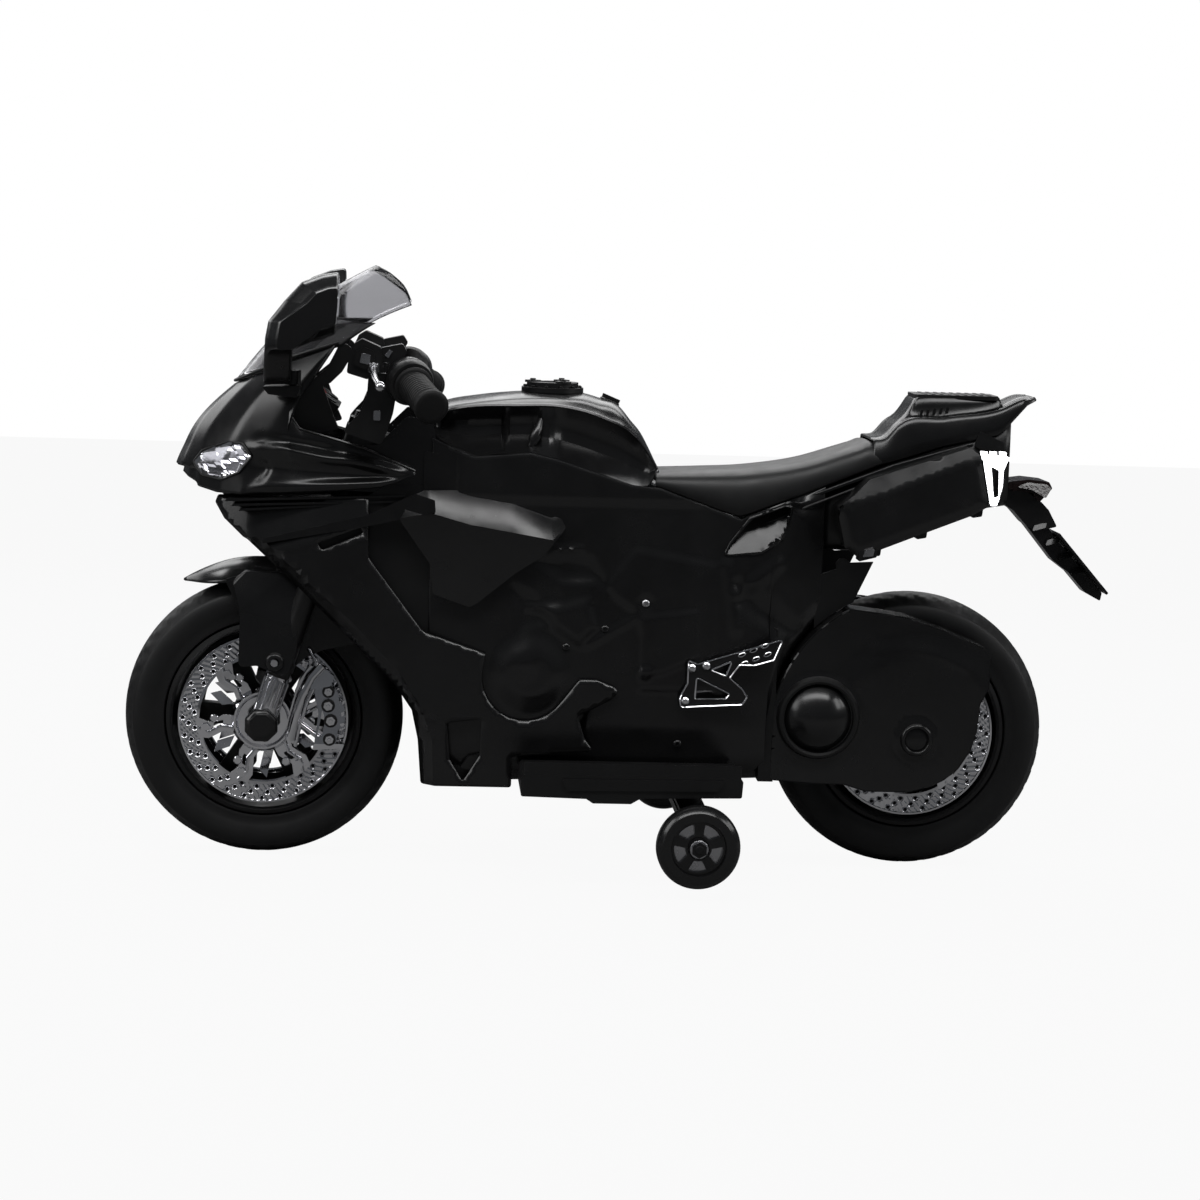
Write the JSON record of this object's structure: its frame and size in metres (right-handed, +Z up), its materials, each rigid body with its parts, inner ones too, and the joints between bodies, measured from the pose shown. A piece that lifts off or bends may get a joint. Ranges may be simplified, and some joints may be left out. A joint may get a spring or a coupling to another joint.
{
  "type": "ride-on toy motorcycle",
  "caption": "Battery ride-on sport motorcycle for a child, with full fairing, windscreen, disc wheels, footboards and side stabiliser wheels.",
  "frame": {"origin": "middle of the length and width, on the ground under the wheels", "axes": "+Z up, -X forward towards the front wheel, -Y to the rider's left"},
  "size_m": [1.05, 0.46, 0.63],
  "materials": {
    "gloss_black": "glossy moulded plastic",
    "satin_black": "fine-grained moulded plastic",
    "seat": "soft-grained",
    "tyre": "moulded, low sheen",
    "grip_rubber": "ribbed",
    "chrome": "plated plastic, polished",
    "steel": "zinc plated",
    "silver_grey": "satin",
    "smoke_screen": "smoke tinted",
    "lamp_clear": "clear lens",
    "lamp_red": "moulded lens",
    "button_red": "glossy",
    "battery_case": "moulded",
    "circuit": "coated board",
    "wire": "insulation",
    "gear_nylon": "moulded nylon",
    "gear_brass": "machined"
  },
  "bodies": {
    "chassis": {"body_left": "gloss_black", "body_right": "gloss_black", "steering_head": "satin_black", "tank_cover": "gloss_black", "tank_cap": "satin_black", "seat": "seat", "tail_cowl": "gloss_black", "tail_pad": "satin_black", "tail_under": "satin_black", "plate_holder": "satin_black", "rear_lights": "lamp_red", "exhausts": "gloss_black", "exhaust_tips": "chrome", "swing_covers": "gloss_black", "dome_caps": "gloss_black", "rear_axle": "satin_black", "nose_cowl": "gloss_black", "windscreen": "smoke_screen", "headlights": "lamp_clear", "instrument_panel": "satin_black", "fairing_left": "gloss_black", "fairing_right": "gloss_black", "winglets": "gloss_black", "footboards": "satin_black", "heel_plates": "chrome", "stabiliser_bracket": "satin_black", "battery": "battery_case", "motor": "steel", "gearbox": "satin_black", "controller": "circuit", "wiring": "wire", "screws": "steel"},
    "fork": {"fork": "satin_black", "fork_sliders": "chrome", "front_fender": "gloss_black", "front_axle": "satin_black", "calipers": "silver_grey", "handlebar": "satin_black", "grips": "grip_rubber", "switch_pods": "satin_black"},
    "front_wheel": {"front_tyre": "tyre", "front_rim": "satin_black", "front_discs": "chrome"},
    "rear_wheel": {"rear_tyre": "tyre", "rear_rim": "satin_black", "rear_discs": "chrome", "wheel_gear": "gear_nylon"},
    "idler": {"idler_gear": "gear_nylon"},
    "pinion": {"motor_pinion": "gear_brass"},
    "stabiliser_left": {"stabiliser_wheel_left": "satin_black"},
    "stabiliser_right": {"stabiliser_wheel_right": "satin_black"},
    "pedal": {"throttle_pedal": "satin_black"},
    "lever_left": {"brake_lever_left": "silver_grey"},
    "lever_right": {"brake_lever_right": "silver_grey"},
    "mirror_left": {"mirror_left": "gloss_black"},
    "mirror_right": {"mirror_right": "gloss_black"},
    "power_switch": {"power_switch": "button_red"},
    "direction_switch": {"direction_switch": "satin_black"},
    "horn_button": {"horn_button": "button_red"},
    "battery_latch": {"battery_latch": "satin_black"}
  },
  "joints": [
    {"name": "steering", "type": "hinge", "parent": "chassis", "child": "fork", "pos_m": [-0.35492, 0, 0.148], "axis": [0.309, 0, 0.9511], "range_deg": [-18, 18]},
    {"name": "front_wheel_spin", "type": "hinge", "parent": "fork", "child": "front_wheel", "pos_m": [-0.377, 0, 0.148], "axis": [0, 1, 0], "continuous": true},
    {"name": "rear_wheel_spin", "type": "hinge", "parent": "chassis", "child": "rear_wheel", "pos_m": [0.315, 0, 0.148], "axis": [0, 1, 0], "continuous": true},
    {"name": "idler_spin", "type": "hinge", "parent": "chassis", "child": "idler", "pos_m": [0.24709, 0, 0.16157], "axis": [0, 1, 0], "continuous": true},
    {"name": "pinion_spin", "type": "hinge", "parent": "chassis", "child": "pinion", "pos_m": [0.20958, 0, 0.16906], "axis": [0, 1, 0], "continuous": true},
    {"name": "stabiliser_left_spin", "type": "hinge", "parent": "chassis", "child": "stabiliser_left", "pos_m": [0.074, -0.212, 0.054], "axis": [0, 1, 0], "continuous": true},
    {"name": "stabiliser_right_spin", "type": "hinge", "parent": "chassis", "child": "stabiliser_right", "pos_m": [0.074, 0.212, 0.054], "axis": [0, 1, 0], "continuous": true},
    {"name": "throttle", "type": "hinge", "parent": "chassis", "child": "pedal", "pos_m": [-0.018, 0.143, 0.128], "axis": [0, 1, 0], "range_deg": [-8, 0], "stiffness_Nm_per_rad": 2, "springref_deg": 2.86},
    {"name": "brake_left", "type": "hinge", "parent": "fork", "child": "lever_left", "pos_m": [-0.267, -0.14, 0.528], "axis": [0, 0, 1], "range_deg": [0, 12], "stiffness_Nm_per_rad": 0.5, "springref_deg": -2.86},
    {"name": "brake_right", "type": "hinge", "parent": "fork", "child": "lever_right", "pos_m": [-0.267, 0.14, 0.528], "axis": [0, 0, 1], "range_deg": [-12, 0], "stiffness_Nm_per_rad": 0.5, "springref_deg": 2.86},
    {"name": "mirror_left_fold", "type": "hinge", "parent": "chassis", "child": "mirror_left", "pos_m": [-0.35, -0.104, 0.51], "axis": [0, 0, 1], "range_deg": [-8, 30]},
    {"name": "mirror_right_fold", "type": "hinge", "parent": "chassis", "child": "mirror_right", "pos_m": [-0.35, 0.104, 0.51], "axis": [0, 0, 1], "range_deg": [-30, 8]},
    {"name": "power_rock", "type": "hinge", "parent": "chassis", "child": "power_switch", "pos_m": [-0.32028, -0.009, 0.49146], "axis": [0, 1, 0], "range_deg": [-8, 8]},
    {"name": "direction_rock", "type": "hinge", "parent": "chassis", "child": "direction_switch", "pos_m": [-0.32028, 0.009, 0.49146], "axis": [0, 1, 0], "range_deg": [-8, 8]},
    {"name": "horn_press", "type": "slide", "parent": "fork", "child": "horn_button", "axis": [-1, 0, 0], "range_m": [0, 0.002], "stiffness_N_per_m": 300, "springref_m": -0.001},
    {"name": "latch_turn", "type": "hinge", "parent": "chassis", "child": "battery_latch", "pos_m": [-0.017, 0, 0.4916], "axis": [0.3746, 0, 0.9272], "range_deg": [0, 90]}
  ],
  "couplings": [
    {"joint": "idler_spin", "follows": "rear_wheel_spin", "ratio": -1.76},
    {"joint": "pinion_spin", "follows": "rear_wheel_spin", "ratio": 3.3846}
  ]
}
